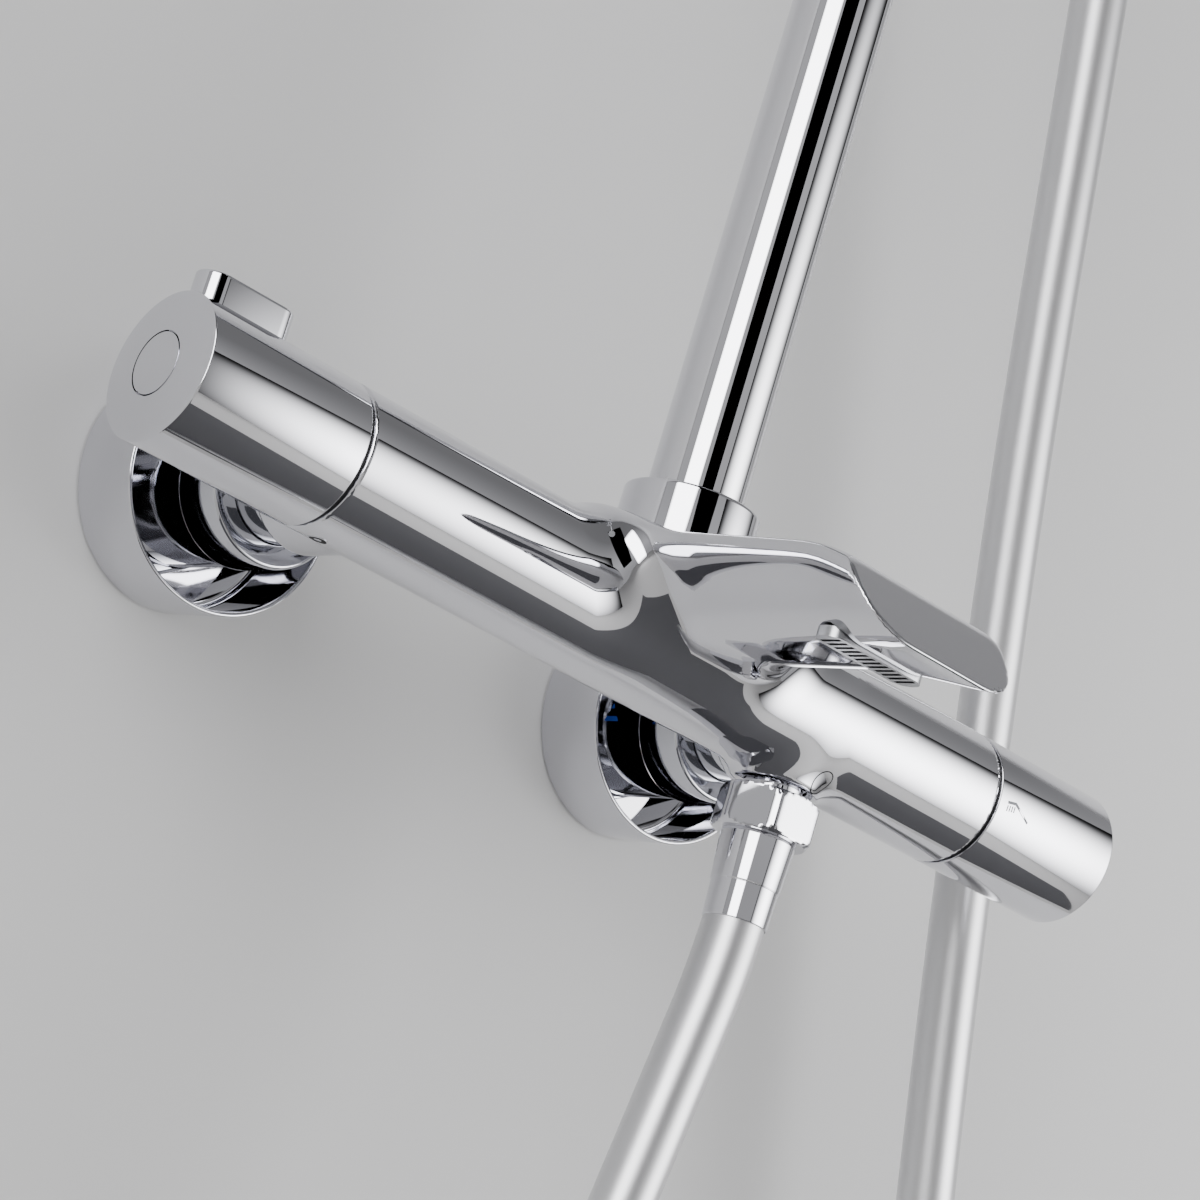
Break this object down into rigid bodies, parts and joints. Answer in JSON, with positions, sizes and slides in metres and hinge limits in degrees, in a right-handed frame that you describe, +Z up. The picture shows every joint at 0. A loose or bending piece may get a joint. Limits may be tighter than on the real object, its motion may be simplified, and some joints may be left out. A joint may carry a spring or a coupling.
{
  "type": "rainfall shower column",
  "caption": "Wall-mounted shower column: thermostatic bar with waterfall spout and end knobs, riser, swivelling arm with round rain head, and a hand shower on a slider with its hose.",
  "frame": {"origin": "on the finished wall, midway between the hot and the cold inlet", "axes": "+X to the user's right when facing the wall (towards the flow knob), +Y into the wall, +Z up"},
  "size_m": [0.3644, 0.609, 1.4764],
  "materials": {
    "chrome": "mirror-polished chrome plate",
    "chrome_tube": "polished chrome-plated tube",
    "chrome_plastic": "ABS moulding with bright chrome plating, slightly orange-peeled",
    "brass": "plain machined brass",
    "hose_silver": "smooth satin silver PVC over a reinforcing wrap",
    "ferrule_metal": "bright plated ferrule",
    "black_rubber": "black EPDM rubber",
    "dark_ring": "dark grey plastic seal ring",
    "white_plastic": "white acetal",
    "blue_mark": "blue plastic",
    "steel": "stainless steel",
    "ceramic": "lapped white ceramic",
    "light_grey_face": "light grey face plate",
    "silicone": "grey silicone",
    "wax_copper": "copper wax cartridge"
  },
  "bodies": {
    "fixed": {"mixer_body": "chrome", "spout_grille": "steel", "body_plug": "chrome", "body_grub_screw": "steel", "cold_marker": "blue_mark", "thermostat_sleeve": "white_plastic", "diverter_sleeve": "white_plastic", "ceramic_disc_fixed": "ceramic", "gap_rings": "dark_ring", "outlet_nipple": "chrome", "hose_nut": "chrome", "hose_washer": "black_rubber", "hose_ferrule": "ferrule_metal", "hose_tube": "hose_silver", "riser_collar": "chrome", "riser_seal": "black_rubber", "riser_tube": "chrome_tube", "bracket_clamp": "chrome", "bracket_base": "steel", "bracket_screws": "steel", "bracket_cover": "chrome", "arm_collar": "chrome", "arm_bush": "white_plastic", "escutcheon_hot": "chrome", "escutcheon_cold": "chrome", "eccentric_unions": "brass", "union_nuts": "chrome", "union_tails": "chrome", "union_washers": "black_rubber", "check_valves": "white_plastic"},
    "temperature_knob": {"temperature_knob": "chrome", "knob_cap": "chrome", "temperature_knob_screw": "steel", "thermostat_spindle": "brass", "stop_button_spring": "steel"},
    "stop_button": {"stop_button": "chrome"},
    "thermostat_element": {"thermostat_element": "wax_copper"},
    "flow_knob": {"flow_knob": "chrome", "flow_knob_screw": "steel", "diverter_spindle": "brass", "ceramic_disc_moving": "ceramic"},
    "slider": {"slider_body": "chrome_plastic", "slider_liner": "white_plastic", "handset_holder": "chrome_plastic"},
    "slider_knob": {"slider_knob": "chrome_plastic"},
    "handset": {"handset_shell": "chrome_plastic", "handset_face": "light_grey_face", "handset_nozzles": "silicone", "handset_washer": "black_rubber", "handset_cone_nut": "chrome", "hose_sleeve": "black_rubber"},
    "arm": {"shower_arm": "chrome_tube", "arm_stop_ring": "chrome", "arm_ball": "brass"},
    "ball_seat": {"ball_seat_ring": "white_plastic"},
    "rain_head": {"head_socket": "chrome", "socket_nut": "chrome", "rain_shell": "chrome_plastic", "rain_face": "light_grey_face", "rain_nozzles": "silicone"}
  },
  "joints": [
    {"name": "temperature_turn", "type": "hinge", "parent": "fixed", "child": "temperature_knob", "pos_m": [-0.125, -0.089, -0.0053], "axis": [1, 0, 0], "range_deg": [-120, 150]},
    {"name": "stop_button_press", "type": "slide", "parent": "temperature_knob", "child": "stop_button", "axis": [0, 0, -1], "range_m": [0, 0.002], "stiffness_N_per_m": 400, "deforming": ["stop_button_spring"]},
    {"name": "thermostat_travel", "type": "slide", "parent": "fixed", "child": "thermostat_element", "axis": [1, 0, 0], "range_m": [-0.0025, 0.003]},
    {"name": "flow_turn", "type": "hinge", "parent": "fixed", "child": "flow_knob", "pos_m": [0.125, -0.089, -0.0053], "axis": [1, 0, 0], "range_deg": [-90, 90]},
    {"name": "slider_slide", "type": "slide", "parent": "fixed", "child": "slider", "axis": [0, 0, 1], "range_m": [-0.25, 0.1], "deforming": ["hose_tube"]},
    {"name": "slider_knob_turn", "type": "hinge", "parent": "slider", "child": "slider_knob", "pos_m": [-0.036, -0.089, 0.622], "axis": [-1, 0, 0], "range_deg": [0, 360]},
    {"name": "handset_lift", "type": "slide", "parent": "slider", "child": "handset", "axis": [0, -0.2079, 0.9781], "range_m": [0, 0.045], "deforming": ["hose_tube"]},
    {"name": "arm_swivel", "type": "hinge", "parent": "fixed", "child": "arm", "pos_m": [0, -0.089, 0.92], "axis": [0, 0, 1], "range_deg": [-60, 60]},
    {"name": "head_tilt", "type": "hinge", "parent": "arm", "child": "ball_seat", "pos_m": [0, -0.469, 0.99], "axis": [1, 0, 0], "range_deg": [-12, 12]},
    {"name": "head_roll", "type": "hinge", "parent": "ball_seat", "child": "rain_head", "pos_m": [0, -0.469, 0.99], "axis": [0, 1, 0], "range_deg": [-12, 12]}
  ],
  "couplings": [
    {"joint": "thermostat_travel", "follows": "temperature_turn", "m_per_rad": 0.001}
  ]
}
